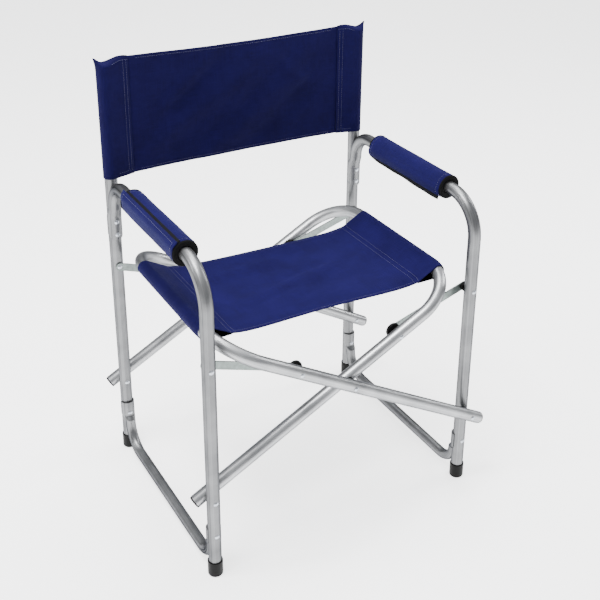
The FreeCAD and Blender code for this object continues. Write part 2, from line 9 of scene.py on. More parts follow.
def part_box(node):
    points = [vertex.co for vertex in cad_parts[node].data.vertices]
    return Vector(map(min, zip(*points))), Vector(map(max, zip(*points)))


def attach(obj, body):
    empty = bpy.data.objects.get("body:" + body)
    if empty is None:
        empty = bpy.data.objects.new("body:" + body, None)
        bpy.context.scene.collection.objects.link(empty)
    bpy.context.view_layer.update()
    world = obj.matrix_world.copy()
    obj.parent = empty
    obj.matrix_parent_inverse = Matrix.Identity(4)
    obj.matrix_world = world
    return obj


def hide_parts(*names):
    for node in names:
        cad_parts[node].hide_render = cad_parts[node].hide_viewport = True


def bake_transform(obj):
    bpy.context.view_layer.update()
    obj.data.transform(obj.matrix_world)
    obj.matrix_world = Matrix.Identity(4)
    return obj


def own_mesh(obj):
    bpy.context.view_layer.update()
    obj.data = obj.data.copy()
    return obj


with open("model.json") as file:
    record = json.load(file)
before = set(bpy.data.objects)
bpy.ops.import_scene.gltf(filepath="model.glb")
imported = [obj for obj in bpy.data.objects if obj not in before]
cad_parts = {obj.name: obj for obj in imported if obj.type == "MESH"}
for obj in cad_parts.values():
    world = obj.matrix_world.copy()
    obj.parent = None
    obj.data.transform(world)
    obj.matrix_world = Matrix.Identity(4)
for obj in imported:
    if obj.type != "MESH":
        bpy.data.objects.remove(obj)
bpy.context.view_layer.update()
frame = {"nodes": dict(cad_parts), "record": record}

# A folding director chair. Metres, +Z up, -X is the left side frame, -Y the front.
# The metal, plastic and rubber parts are the CAD's own. The cloth, the pads, the stitches and the
# seat frames' plugs are made here.

MM = 0.001
TUBE_R = 11 * MM
CLOTH = 1.1 * MM                    # thickness of the woven cloth
SNUG = TUBE_R + 0.3 * MM + CLOTH / 2    # middle of the cloth where it lies on a tube
THREAD_R = 0.27 * MM
STITCH = 3.2 * MM
STITCH_GAP = 0.9 * MM
LEAN = math.radians(0.69)           # the side frames lean inwards
SEAT_SLOPE = math.radians(29.9)     # the seat frames' arms
# One stitch, at five places along it: share of its length, height and width, both in thread radii.
STITCH_SHAPE = [
    (0.0, -1.2, 0.45), (0.12, 0.25, 0.95), (0.5, 0.75, 1.0), (0.88, 0.25, 0.95), (1.0, -1.2, 0.45),
]
STITCH_SIDES = 6


# --- mesh helpers --------------------------------------------------------------------------------
def new_object(name, vertices, faces, materials, indices=None, smooth=True):
    mesh = bpy.data.meshes.new(name)
    mesh.from_pydata([tuple(v) for v in vertices], [], faces)
    for material in materials:
        mesh.materials.append(material)
    if indices is not None:
        mesh.polygons.foreach_set("material_index", indices)
    mesh.polygons.foreach_set("use_smooth", [smooth] * len(faces))
    mesh.update()
    piece = bpy.data.objects.new(name, mesh)
    bpy.context.scene.collection.objects.link(piece)
    return piece


def grid_normals(points):
    """Unit normals of a grid of points, rows by columns."""
    along = np.gradient(points, axis=1)
    up = np.gradient(points, axis=0)
    normals = np.cross(along, up)
    return normals / np.maximum(np.linalg.norm(normals, axis=2, keepdims=True), 1e-12)


def cloth_from_grid(name, points, lengths, thickness, outer, lining):
    """A thin closed shell about a grid of points, with UVs in metres along the cloth.

    The face side and the cut edges get the outer material, the other side the lining.
    """
    rows, columns = points.shape[:2]
    shift = grid_normals(points) * (thickness / 2)
    vertices = np.concatenate([(points + shift).reshape(-1, 3), (points - shift).reshape(-1, 3)])
    half = rows * columns
    faces, slots = [], []
    for r in range(rows - 1):
        for c in range(columns - 1):
            a = r * columns + c
            b, d = a + 1, a + columns
            faces.append((a, b, d + 1, d))
            faces.append((half + a, half + d, half + d + 1, half + b))
            slots += [0, 1]
    rim = [(0, c) for c in range(columns)]
    rim += [(r, columns - 1) for r in range(1, rows)]
    rim += [(rows - 1, c) for c in range(columns - 2, -1, -1)]
    rim += [(r, 0) for r in range(rows - 2, 0, -1)]
    ring = [r * columns + c for r, c in rim]
    for a, b in zip(ring, ring[1:] + ring[:1]):
        faces.append((b, a, half + a, half + b))
        slots.append(0)
    piece = new_object(name, vertices, faces, [outer, lining], slots)
    uv = piece.data.uv_layers.new(name="cloth")
    u, v = lengths
    across, up = np.tile(u, (rows, 1)), np.tile(v[:, None], (1, columns))
    coords = np.stack([across, up], axis=2).reshape(-1, 2)
    loop_vertices = np.empty(len(piece.data.loops), np.int32)
    piece.data.loops.foreach_get("vertex_index", loop_vertices)
    uv.data.foreach_set("uv", coords[loop_vertices % half].astype(np.float32).ravel())
    return piece


def arc_lengths(profile):
    steps = np.linalg.norm(np.diff(profile, axis=0), axis=1)
    return np.concatenate([[0.0], np.cumsum(steps)])


def resample(profile, spacing):
    """Points at about equal spacing along a profile."""
    s = arc_lengths(profile)
    at = np.linspace(0, s[-1], max(4, int(round(s[-1] / spacing)) + 1))
    return np.stack([np.interp(at, s, profile[:, k]) for k in range(profile.shape[1])], axis=1)


def arc(radius, start, end, steps):
    """Points on a circle round the origin, from one angle to another."""
    angles = np.linspace(start, end, steps)
    return np.stack([radius * np.cos(angles), radius * np.sin(angles)], axis=1)


def soft_noise(points, size, seed):
    """Smooth noise, one value per point, for slack and small folds."""
    offset = Vector((seed * 7.3, seed * 3.1, seed * 5.7))
    flat = points.reshape(-1, 3)
    values = [noise.noise(Vector(p) / size + offset) for p in flat]
    return np.array(values).reshape(points.shape[:-1])


def crease(across, up, start, end, width, height):
    """A soft ridge between two places on a cloth, fading at both ends. All lengths in metres."""
    start, end = np.array(start), np.array(end)
    run = end - start
    length = np.linalg.norm(run)
    run = run / length
    along = ((across - start[0]) * run[0] + (up - start[1]) * run[1]) / length
    off = (up - start[1]) * run[0] - (across - start[0]) * run[1]
    fade = np.sin(math.pi * np.clip(along, 0, 1)) ** 0.8
    return height * np.exp(-(off / width) ** 2) * fade


def along_path(values, s, at):
    """The values on a path, at arc length at."""
    return np.array([np.interp(at, s, values[:, i]) for i in range(3)])


def stitch_row(path, normals, vertices, faces):
    """Adds one row of stitches along a path of points that lies on the cloth."""
    s = arc_lengths(path)
    pitch = STITCH + STITCH_GAP
    count = int(s[-1] / pitch)
    inset = (s[-1] - count * pitch + STITCH_GAP) / 2
    sides = range(STITCH_SIDES)
    for k in range(count):
        start = inset + k * pitch
        base = len(vertices)
        for share, height, width in STITCH_SHAPE:
            at = start + STITCH * share
            point, normal = along_path(path, s, at), along_path(normals, s, at)
            run = along_path(path, s, at + MM) - along_path(path, s, at - MM)
            side = np.cross(run / np.linalg.norm(run), normal)
            for turn in sides:
                a = 2 * math.pi * turn / STITCH_SIDES
                spoke = side * math.cos(a) + normal * math.sin(a)
                vertices.append(point + normal * height * THREAD_R + spoke * THREAD_R * width)
        last = base + (len(STITCH_SHAPE) - 1) * STITCH_SIDES
        for ring in range(base, last, STITCH_SIDES):
            for turn in sides:
                a, b = ring + turn, ring + (turn + 1) % STITCH_SIDES
                faces.append((a, b, b + STITCH_SIDES, a + STITCH_SIDES))
        faces.append(tuple(base + turn for turn in sides)[::-1])
        faces.append(tuple(last + turn for turn in sides))


def grid_line(points, *where):
    """Path and normals of a line on the face side of a cloth, from a grid and the line's place in it."""
    normals = grid_normals(points)[where]
    return points[where] + normals * CLOTH / 2, normals


def nearest(values, at):
    """The place of the value nearest to at."""
    return int(np.argmin(np.abs(values - at)))


def stitches(name, rows, material, body):
    """One piece that holds several rows of stitches. Each row is (path, normals).

    It rides body, or rides nothing where body is None.
    """
    vertices, faces = [], []
    for path, normals in rows:
        stitch_row(path, normals, vertices, faces)
    piece = new_object(name, vertices, faces, [material])
    if body:
        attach(piece, body)
    return piece


# --- material helpers ----------------------------------------------------------------------------
class Nodes:
    """A short way to build a node material."""

    def __init__(self, name):
        self.material = bpy.data.materials.new(name)
        self.material.use_nodes = True
        self.tree = self.material.node_tree
        self.shader = self.tree.nodes["Principled BSDF"]

    def add(self, kind, inputs=None, **settings):
        node = self.tree.nodes.new(kind)
        for key, value in settings.items():
            setattr(node, key, value)
        for key, value in (inputs or {}).items():
            self.set(node, key, value)
        return node

    def set(self, node, key, value):
        if isinstance(value, bpy.types.NodeSocket):
            self.tree.links.new(value, node.inputs[key])
        else:
            node.inputs[key].default_value = value

    def math(self, operation, a, b=0.0):
        return self.add("ShaderNodeMath", {0: a, 1: b}, operation=operation).outputs[0]

    def times(self, a, b):
        return self.math("MULTIPLY", a, b)

    def plus(self, a, b):
        return self.math("ADD", a, b)

    def coords(self, kind="Object"):
        return self.add("ShaderNodeTexCoord").outputs[kind]

    def noise(self, vector, scale, detail, roughness=0.5):
        inputs = {"Vector": vector, "Scale": scale, "Detail": detail, "Roughness": roughness}
        return self.add("ShaderNodeTexNoise", inputs).outputs["Fac"]

    def stretch(self, vector, factors):
        node = self.add("ShaderNodeVectorMath", {0: vector, 1: factors}, operation="MULTIPLY")
        return node.outputs[0]

    def remap(self, value, low, high, to_low, to_high):
        inputs = {"Value": value, "From Min": low, "From Max": high,
                  "To Min": to_low, "To Max": to_high}
        return self.add("ShaderNodeMapRange", inputs).outputs[0]

    def mix(self, factor, a, b):
        node = self.add("ShaderNodeMix", data_type="RGBA")
        self.set(node, "Factor", factor)
        self.set(node, 6, a)
        self.set(node, 7, b)
        return node.outputs[2]

    def bump(self, height, distance, strength, normal=None):
        inputs = {"Height": height, "Distance": distance, "Strength": strength}
        if normal is not None:
            inputs["Normal"] = normal
        return self.add("ShaderNodeBump", inputs).outputs[0]

    def finish(self, **inputs):
        for key, value in inputs.items():
            self.set(self.shader, key.replace("_", " "), value)
        return self.material


def rgba(red, green, blue):
    return (red, green, blue, 1.0)


def grey(value, green=1.0, blue=1.0):
    """A grey, with its green and blue against its red."""
    return rgba(value, value * green, value * blue)


def drawn_aluminium(name, across, dark, light):
    """Satin anodised tube. Its drawing lines run along the tube, so they vary only along across."""
    n = Nodes(name)
    place = n.coords()
    dot = n.add("ShaderNodeVectorMath", {0: place, 1: across}, operation="DOT_PRODUCT")
    side = dot.outputs["Value"]
    fine, broad = (n.add("ShaderNodeTexNoise", {"W": side, "Scale": scale, "Detail": detail},
                         noise_dimensions="1D").outputs["Fac"]
                   for scale, detail in ((2600.0, 3.0), (420.0, 2.0)))
    cloud = n.noise(place, 22.0, 3.0)
    grain = n.noise(place, 2400.0, 2.0)
    lines = n.plus(n.times(fine, 0.6), n.times(broad, 0.4))
    tone = n.remap(n.plus(lines, n.times(cloud, 0.35)), 0.45, 0.9, 0.0, 1.0)
    rough = n.remap(n.plus(lines, n.times(cloud, 0.5)), 0.4, 1.1, 0.30, 0.45)
    height = n.plus(lines, n.times(grain, 0.25))
    return n.finish(Base_Color=n.mix(tone, grey(dark, 1.02, 1.06), grey(light, 1.01, 1.03)),
                    Metallic=0.95, Roughness=rough, Normal=n.bump(height, 0.00003, 0.7),
                    Specular_Tint=rgba(0.16, 0.165, 0.18))


def zinc(name, tint=(0.20, 0.23, 0.22)):
    """Zinc-plated steel: a cloudy, slightly green grey."""
    n = Nodes(name)
    place = n.coords()
    cloud = n.noise(place, 160.0, 4.0)
    spangle = n.noise(place, 900.0, 2.0)
    dark = rgba(*(0.72 * c for c in tint))
    colour = n.mix(n.remap(cloud, 0.3, 0.7, 0.0, 1.0), dark, rgba(*tint))
    rough = n.remap(spangle, 0.3, 0.7, 0.28, 0.46)
    return n.finish(Base_Color=colour, Metallic=0.95, Roughness=rough,
                    Normal=n.bump(spangle, 0.00004, 0.6), Specular_Tint=rgba(0.1, 0.1, 0.11))


def moulded(name, value, roughness, grain_size=900.0, depth=0.00006, specular=0.12):
    """Black moulded plastic or rubber with a fine grain."""
    n = Nodes(name)
    place = n.coords()
    grain = n.noise(place, grain_size, 3.0)
    scuff = n.noise(place, 60.0, 4.0)
    worn = n.remap(scuff, 0.45, 0.75, 0.0, 1.0)
    colour = n.mix(worn, grey(value), rgba(value * 2.2, value * 2.2, value * 2.3))
    rough = n.remap(scuff, 0.3, 0.7, roughness - 0.06, roughness + 0.08)
    return n.finish(Base_Color=colour, Roughness=rough, Normal=n.bump(grain, depth, 0.8),
                    Specular_IOR_Level=specular)


def woven(name, dark, light, sheen, pitch=0.62):
    """Plain woven polyester. Its UVs are metres along the cloth, and pitch is in millimetres."""
    n = Nodes(name)
    cloth = n.coords("UV")
    parts = n.add("ShaderNodeSeparateXYZ", {0: cloth})
    threads = math.pi / (pitch * MM)
    warp = n.math("SINE", n.times(parts.outputs[0], threads))
    weft = n.math("SINE", n.times(parts.outputs[1], threads))
    over = n.times(warp, weft)
    ridges = n.plus(n.math("ABSOLUTE", warp), n.math("ABSOLUTE", weft))
    height = n.plus(over, n.times(ridges, 0.45))
    slub_warp = n.noise(n.stretch(cloth, (1400.0, 26.0, 1.0)), 1.0, 2.0)
    slub_weft = n.noise(n.stretch(cloth, (26.0, 1400.0, 1.0)), 1.0, 2.0)
    cloud = n.noise(cloth, 14.0, 4.0, 0.6)
    fuzz = n.noise(cloth, 1500.0, 2.0)
    slubs = n.plus(n.times(slub_warp, 0.5), n.times(slub_weft, 0.5))
    shade = n.plus(n.times(slubs, 0.9), n.times(cloud, 0.55))
    shade = n.plus(shade, n.times(over, 0.10))
    colour = n.mix(n.remap(shade, 0.45, 1.0, 0.0, 1.0), rgba(*dark), rgba(*light))
    weave = n.bump(n.plus(height, n.times(fuzz, 0.5)), 0.00012, 0.55)
    return n.finish(Base_Color=colour, Roughness=0.82, Normal=n.bump(slubs, 0.00025, 0.35, weave),
                    Sheen_Weight=sheen, Sheen_Roughness=0.45, Sheen_Tint=rgba(0.25, 0.32, 0.9),
                    Specular_IOR_Level=0.06)


def coated(name):
    """The black coated back of the cloth."""
    n = Nodes(name)
    grain = n.noise(n.coords(), 700.0, 3.0)
    colour = n.mix(grain, rgba(0.002, 0.002, 0.003), rgba(0.006, 0.006, 0.008))
    return n.finish(Base_Color=colour, Roughness=0.92, Normal=n.bump(grain, 0.00008, 0.5),
                    Specular_IOR_Level=0.02)


def cellular_foam(name):
    """Black foam with small closed cells."""
    n = Nodes(name)
    cells = n.add("ShaderNodeTexVoronoi", {"Vector": n.coords(), "Scale": 900.0}).outputs["Distance"]
    colour = n.mix(n.remap(cells, 0.0, 0.6, 0.0, 1.0), grey(0.0008), rgba(0.003, 0.003, 0.0033))
    return n.finish(Base_Color=colour, Roughness=0.9, Normal=n.bump(cells, 0.0002, 0.6),
                    Specular_IOR_Level=0.12)


def hook_tape(name):
    """The black tape that closes an armrest's cover."""
    n = Nodes(name)
    hooks = n.add("ShaderNodeTexVoronoi", {"Vector": n.coords(), "Scale": 1500.0}).outputs["Distance"]
    colour = n.mix(hooks, rgba(0.001, 0.001, 0.0015), rgba(0.006, 0.006, 0.008))
    return n.finish(Base_Color=colour, Roughness=0.85, Normal=n.bump(hooks, 0.0003, 0.8),
                    Specular_IOR_Level=0.12)


def thread(name, colour):
    """Twisted sewing thread."""
    n = Nodes(name)
    twist = n.noise(n.coords(), 2600.0, 1.0)
    dark = rgba(*(0.6 * c for c in colour))
    return n.finish(Base_Color=n.mix(twist, dark, rgba(*colour)), Roughness=0.55, Sheen_Weight=0.3,
                    Normal=n.bump(twist, 0.0001, 0.5))


def pale_floor(name):
    """A plain pale studio floor. It glows a little, so that it stays near white."""
    n = Nodes(name)
    cloud = n.noise(n.coords(), 3.0, 3.0)
    colour = n.mix(cloud, rgba(0.88, 0.88, 0.885), rgba(0.92, 0.92, 0.92))
    return n.finish(Base_Color=colour, Roughness=0.8, Emission_Color=rgba(1.0, 1.0, 1.0),
                    Emission_Strength=2.2)


# Across each frame's tubes, in its plane.
SIDE_ACROSS = {"left": (math.cos(LEAN), 0.0, -math.sin(LEAN)),
               "right": (math.cos(LEAN), 0.0, math.sin(LEAN))}
SEAT_ACROSS = {"a": (math.sin(SEAT_SLOPE), 0.0, math.cos(SEAT_SLOPE)),
               "b": (-math.sin(SEAT_SLOPE), 0.0, math.cos(SEAT_SLOPE))}
# One aluminium as a lit and a shaded copy: the side frames' tubes get a darker tone than the seat
# frames' as painted shade.
SIDE_TUBE_SHADED_TONE, SEAT_TUBE_LIT_TONE = (0.07, 0.27), (0.16, 0.52)
RIVET_TINT = (0.56, 0.59, 0.64)
NAVY_DARK, NAVY_LIGHT = (0.0028, 0.0018, 0.023), (0.0078, 0.0052, 0.062)
# The back's cloth is the seat's navy made darker: painted shade for the upright back, which gets less of
# the light from above.
BACK_SHADED_DARK, BACK_SHADED_LIGHT = (0.0022, 0.0014, 0.0180), (0.0061, 0.0041, 0.0485)
cloth_material = woven("woven_navy", NAVY_DARK, NAVY_LIGHT, 0.05)
back_painted_shade_cloth_material = woven("woven_navy_back_painted_shade", BACK_SHADED_DARK, BACK_SHADED_LIGHT, 0.04)
arm_cloth_material = woven("woven_navy_arm", NAVY_DARK, NAVY_LIGHT, 0.07, pitch=0.55)
lining_material = coated("coated_lining")
foam_material = cellular_foam("foam_black")
tape_material = hook_tape("hook_tape")
plug_material = moulded("plastic_plugs", 0.0010, 0.88, specular=0.02)
# The thread is the cloth's navy made a little lighter: painted sheen.
thread_material = thread("thread_navy", (0.008, 0.0105, 0.075))


# --- the CAD's own parts -------------------------------------------------------------------------
def dress_cad_nodes():
    """Gives each CAD part that stays its finish, by its material slot in the record."""
    by_slot = {
        "link_steel": zinc("zinc_links"),
        "rivet_steel": zinc("zinc_rivets", RIVET_TINT),
        "washer_plastic": moulded("plastic_washers", 0.0020, 0.5),
        "black_plastic": moulded("plastic_black", 0.0010, 0.45),
        "foot_rubber": moulded("rubber_feet", 0.0010, 0.5, 500.0, 0.0001),
    }
    tubes = {}
    for side, across in SIDE_ACROSS.items():
        material = drawn_aluminium(f"aluminium_{side}_side", across, *SIDE_TUBE_SHADED_TONE)
        for part in ("arm_tube", "rear_upright", "lower_stretcher"):
            tubes[f"{side}_{part}"] = material
    for name, across in SEAT_ACROSS.items():
        material = drawn_aluminium(f"aluminium_seat_{name}", across, *SEAT_TUBE_LIT_TONE)
        tubes[f"seat_frame_{name}_tube"] = material
    for part in frame["record"]["subparts"]:
        node = part["node"]
        material = tubes.get(node) or by_slot.get(part["material_slot"])
        if material is None:
            continue
        mesh = frame["nodes"][node].data
        mesh.materials.clear()
        mesh.materials.append(material)


# --- the plugs in the seat frames' lower ends ----------------------------------------------------
PLUG_SHORT = 0.4 * MM               # how far short of the tube's end the CAD's plug stops
# A plug's outline from the middle of its head to the end of its stem: radius, and distance out of
# the tube.
PLUG_OUTLINE = np.array([
    (0, 2.9), (4, 2.85), (7.5, 2.7), (9.6, 2.4), (10.4, 2.1), (10.6, 1.8), (10.6, 0.05),
    (9.2, 0.04), (9.2, -12.0), (8.4, -13.0), (0, -13.0),
]) * MM
PLUG_SIDES = 48


def seat_frame_plugs(name):
    """Moulded plugs with low domed heads, one in each lower end of a seat frame."""
    node = frame["nodes"][f"seat_frame_{name}_plugs"]
    corners = np.array([node.matrix_world @ v.co for v in node.data.vertices])
    side = 1 if name == "a" else -1
    out = np.array([side * math.cos(SEAT_SLOPE), 0, -math.sin(SEAT_SLOPE)])
    rise = np.array([side * math.sin(SEAT_SLOPE), 0, math.cos(SEAT_SLOPE)])
    along_y = np.array([0, 1, 0])
    turns = np.linspace(0, 2 * math.pi, PLUG_SIDES, endpoint=False)
    vertices, faces = [], []
    for own in (corners[corners[:, 1] < 0], corners[corners[:, 1] > 0]):
        middle = [((own @ axis).min() + (own @ axis).max()) / 2 for axis in (rise, along_y)]
        centre = rise * middle[0] + along_y * middle[1] + out * ((own @ out).max() + PLUG_SHORT)
        base = len(vertices)
        rings = PLUG_OUTLINE[1:-1]
        for radius, height in rings:
            for turn in turns:
                spoke = rise * math.cos(turn) + along_y * math.sin(turn)
                vertices.append(centre + out * height + spoke * radius)
        last = base + (len(rings) - 1) * PLUG_SIDES
        head, foot = len(vertices), len(vertices) + 1
        vertices += [centre + out * PLUG_OUTLINE[0][1], centre + out * PLUG_OUTLINE[-1][1]]
        for k in range(PLUG_SIDES):
            following = (k + 1) % PLUG_SIDES
            for ring in range(base, last, PLUG_SIDES):
                a, b = ring + k, ring + following
                faces.append((a, a + PLUG_SIDES, b + PLUG_SIDES, b))
            faces.append((head, base + k, base + following))
            faces.append((foot, last + following, last + k))
    piece = new_object(f"seat_frame_{name}_domed_plugs", vertices, faces, [plug_material])
    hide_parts(f"seat_frame_{name}_plugs")
    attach(piece, f"seat_frame_{name}")


# --- the seat cloth ------------------------------------------------------------------------------
FLAP = 44 * MM                      # seat rail axis to the sewn line
FLAP_DROP = math.radians(14)
LAYERS = 0.75 * MM                  # half the distance between the two layers at the sewn line
SEAT_STRAIGHT = 86 * MM             # how far behind the front feet the rails' front bends end
SEAT_BEND = 80 * MM                 # radius of those bends
# Folds in the seat: start, end, width and height.
SEAT_FOLDS = [
    ((-150 * MM, -60 * MM), (90 * MM, 0 * MM), 14 * MM, 4.0 * MM),
    ((-60 * MM, -75 * MM), (160 * MM, 40 * MM), 12 * MM, 3.0 * MM),
    ((-170 * MM, 40 * MM), (20 * MM, 60 * MM), 15 * MM, 3.0 * MM),
]
SEAT_STITCH_ROWS = (-7 * MM, 3 * MM)    # from the sewn line
SEAT_SAG = 6.0 * MM                 # how far the panel curves down between the sewn lines
SEAT_MIDDLE_SAG = 2.5 * MM          # how much further its middle hangs than its front and rear edges
SEAT_EDGE_PULL = 4.0 * MM           # how far the front and rear edges pull in
SEAT_HEMS = (2, -3)                 # grid rows of the front and rear hem stitches
# Slack in the seat: the size of its waves, a seed and their height.
SEAT_SLACK = [(50 * MM, 3, 2.4 * MM), (20 * MM, 8, 0.6 * MM)]
SEAT_SLANT, SEAT_STRETCH = 0.35, 0.42       # the waves run aslant, longer from side to side
SEAT_GRID_ROWS = 90


def rail_centre(name):
    """x and z of a seat rail's axis."""
    low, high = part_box(f"seat_frame_{name}_tube")
    x = low.x + TUBE_R if name == "a" else high.x - TUBE_R
    return np.array([x, high.z - TUBE_R])


def pocket_profile(reach, radius=SNUG, layers=LAYERS):
    """A pocket round a tube at the origin, with its flap along +x.

    It starts under the sewn line, goes round the tube and comes back on top to the sewn line.
    """
    end = np.array([reach, layers])
    lift = math.atan2(layers, reach)
    leave = math.acos(radius / np.linalg.norm(end)) + lift
    loop = arc(radius, -leave, -2 * math.pi + leave, 40)
    under = np.array([[reach, -layers]])
    return np.concatenate([under, loop, end[None, :]])


def seat_section():
    """The seat cloth's profile in x and z, in three parts: the left pocket, the panel and the right
    pocket.
    """
    left, right = rail_centre("a"), rail_centre("b")
    pocket = resample(pocket_profile(FLAP), 2.6 * MM)
    c, s = math.cos(FLAP_DROP), math.sin(FLAP_DROP)
    drop = np.array([[c, s], [-s, c]])
    left_part = pocket @ drop.T + left
    right_part = pocket[::-1] * np.array([-1, 1]) @ drop + right
    start, end = left_part[-1], right_part[0]
    span = end[0] - start[0]
    t = np.linspace(0, 1, 120)[1:-1]
    sag_power = math.tan(FLAP_DROP) * span / 2 / SEAT_SAG
    level = start[1] + (end[1] - start[1]) * t
    sag = SEAT_SAG * (1 - np.abs(2 * t - 1) ** sag_power)
    panel = np.stack([start[0] + span * t, level - sag], axis=1)
    return left_part, panel, right_part


def seat_cloth():
    """One sheet: the left pocket, the seat panel and the right pocket.

    Returns the piece, its grid of points, the columns of the two sewn lines and the columns' lengths.
    """
    left_part, panel, right_part = seat_section()
    profile = np.concatenate([left_part, panel, right_part])
    u = arc_lengths(profile)
    low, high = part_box("seat_sleeve_left")
    front, back = low.y, high.y
    front_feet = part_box("left_front_foot_cap")
    feet_y = (front_feet[0].y + front_feet[1].y) / 2
    y = np.linspace(front, back, SEAT_GRID_ROWS)
    points = np.zeros((len(y), len(profile), 3))
    points[:, :, 0] = profile[:, 0]
    points[:, :, 1] = y[:, None]
    points[:, :, 2] = profile[:, 1]
    past = np.clip(feet_y + SEAT_STRAIGHT - y, 0, None)
    inward = SEAT_BEND - np.sqrt(SEAT_BEND ** 2 - past ** 2)
    from_left = np.clip((np.arange(len(profile)) - len(left_part)) / len(panel), 0, 1)
    weight = from_left * from_left * (3 - 2 * from_left)
    c, s = math.cos(SEAT_SLOPE), math.sin(SEAT_SLOPE)
    points[:, :, 0] += inward[:, None] * c * (1 - 2 * weight)
    points[:, :, 2] -= inward[:, None] * s * np.abs(1 - 2 * weight)
    middle = np.clip(np.sin(math.pi * from_left), 0, 1)
    across = (y - front) / (back - front)
    slant = points.copy()
    slant[:, :, 0] = SEAT_STRETCH * (points[:, :, 0] + SEAT_SLANT * points[:, :, 1])
    slant[:, :, 1] = points[:, :, 1] - SEAT_SLANT * points[:, :, 0]
    slack = sum(soft_noise(slant, size, seed) * height for size, seed, height in SEAT_SLACK)
    # The cloth is free inside the sewn lines, and less so at its hemmed front and rear edges.
    free = middle[None, :] ** 0.6
    edge_free = 0.15 + 0.85 * np.clip(np.sin(math.pi * across) * 2.0, 0, 1)
    points[:, :, 2] += slack * free * edge_free[:, None]
    for fold in SEAT_FOLDS:
        points[:, :, 2] += crease(points[:, :, 0], points[:, :, 1], *fold) * free
    points[:, :, 2] -= SEAT_MIDDLE_SAG * middle[None, :] * np.sin(math.pi * across)[:, None]
    points[:, :, 1] += SEAT_EDGE_PULL * middle[None, :] * (1 - 2 * across)[:, None] ** 3
    v = y - front
    piece = cloth_from_grid("seat_cloth", points, (u, v), CLOTH, cloth_material, lining_material)
    return piece, points, len(left_part), len(left_part) + len(panel) - 1, u


def make_seat():
    """The seat's cloth and stitches. The cloth and its hem stitches ride no body; the stitches by each
    sewn line ride that side's seat frame.
    """
    piece, points, sewn_left, sewn_right, u = seat_cloth()
    left_line, right_line = u[sewn_left], u[sewn_right]
    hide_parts("seat_panel", "seat_sleeve_left", "seat_sleeve_right")
    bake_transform(piece)
    inner = (u > left_line + 3 * MM) & (u < right_line - 3 * MM)
    hems = [grid_line(points, row, inner) for row in SEAT_HEMS]
    hem = stitches("seat_stitches_hems", hems, thread_material, None)
    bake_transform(hem)
    sewn = (("left", "seat_frame_a", left_line, 1), ("right", "seat_frame_b", right_line, -1))
    for side, body, line, inwards in sewn:
        columns = [nearest(u, line + inwards * shift) for shift in SEAT_STITCH_ROWS]
        rows = [grid_line(points, slice(None), column) for column in columns]
        stitches(f"seat_stitches_{side}", rows, thread_material, body)


# --- the back cloth ------------------------------------------------------------------------------
BACK_FLAP = 42 * MM
BACK_OVERLAP = 14 * MM              # how far the panel reaches into each pocket
BACK_STITCH_ROWS = (4 * MM, 10 * MM)    # from the pocket's edge towards the upright
BACK_LAYERS = 1.2 * MM              # half the distance between a pocket's two layers at the seam
BACK_HEM = 6 * MM                   # hem stitches, from the top and bottom edges
BACK_HEM_REACH = 34 * MM
BACK_BOW = 5 * MM                   # how far the middle of the panel hangs back
BACK_BOW_LOWER = 1.0                # how much further at the lower edge, as a share of that
BACK_SAG = (1.5 * MM, 5.0 * MM)     # how far the middle of its lower and upper edges hangs down
# Folds in the back, from the middle of its lower edge: start, end, width and height.
BACK_FOLDS = [
    ((-190 * MM, 70 * MM), (-30 * MM, 200 * MM), 13 * MM, 5.5 * MM),
    ((-200 * MM, 20 * MM), (40 * MM, 160 * MM), 16 * MM, 5.0 * MM),
    ((-90 * MM, 0 * MM), (120 * MM, 110 * MM), 15 * MM, 3.5 * MM),
    ((20 * MM, 90 * MM), (170 * MM, 130 * MM), 12 * MM, 3.0 * MM),
    ((60 * MM, 180 * MM), (185 * MM, 60 * MM), 12 * MM, 2.5 * MM),
]
# Slack in the back: the size of its waves, a seed and their height.
BACK_SLACK = [(55 * MM, 21, 6.0 * MM), (21 * MM, 23, 1.8 * MM)]
# The waves' slant, as its cosine and sine, and how drawn out they are.
BACK_SLANT, BACK_STRETCH = (0.62, 0.78), 0.30
BACK_GRID = (84, 150)               # rows and columns
WRINKLE_SIZE, WRINKLE_HEIGHT = 24 * MM, 0.5 * MM    # small wrinkles in the pockets
WRINKLE_SEED = {"left": 11, "right": 12}
POCKET_GRID_ROWS = 90
EAR_OUT = 0.8                       # how far out the ear reaches, of what a flat pocket would
FLATTEN_FROM = 748 * MM             # height at which a pocket starts to widen towards its top seam
CLOSE_FROM = 759.5 * MM             # height at which it starts to close over the tube's end
# The top edge's height over the back's, by distance from the sewn line: a dip over the tube, then
# the ear.
TOP_EDGE = (np.array([0, 8, 18, 28, 36, 42, 47, 52, 57, 60, 63]) * MM,
            np.array([0.2, 1.2, 0.8, -2.0, -4.4, -5.6, -5.0, -2.8, 0.6, 2.4, 3.2]) * MM)
UPRIGHT_AXES = {}


def upright_axis(side):
    """The lower and upper end of an upright's axis."""
    if side in UPRIGHT_AXES:
        return UPRIGHT_AXES[side]
    low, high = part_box(f"{side}_rear_upright")
    foot_x, top_x = low.x + TUBE_R, high.x - TUBE_R
    if side == "right":
        foot_x, top_x = top_x, foot_x
    foot = np.array([foot_x, low.y + TUBE_R, low.z])
    top = np.array([top_x, high.y - TUBE_R, high.z])
    UPRIGHT_AXES[side] = foot, top
    return foot, top


def on_upright(side, z):
    """The point on an upright's axis at a height."""
    foot, top = upright_axis(side)
    return foot + (top - foot) * ((z - foot[2]) / (top[2] - foot[2]))


def back_range():
    """The heights of the back cloth's lower and upper edges."""
    low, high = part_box("back_panel")
    return low.z, high.z


def hem_rows(v):
    """The grid rows of the lower and the upper hem's stitches."""
    return [nearest(v, v[0] + BACK_HEM), nearest(v, v[-1] - BACK_HEM)]


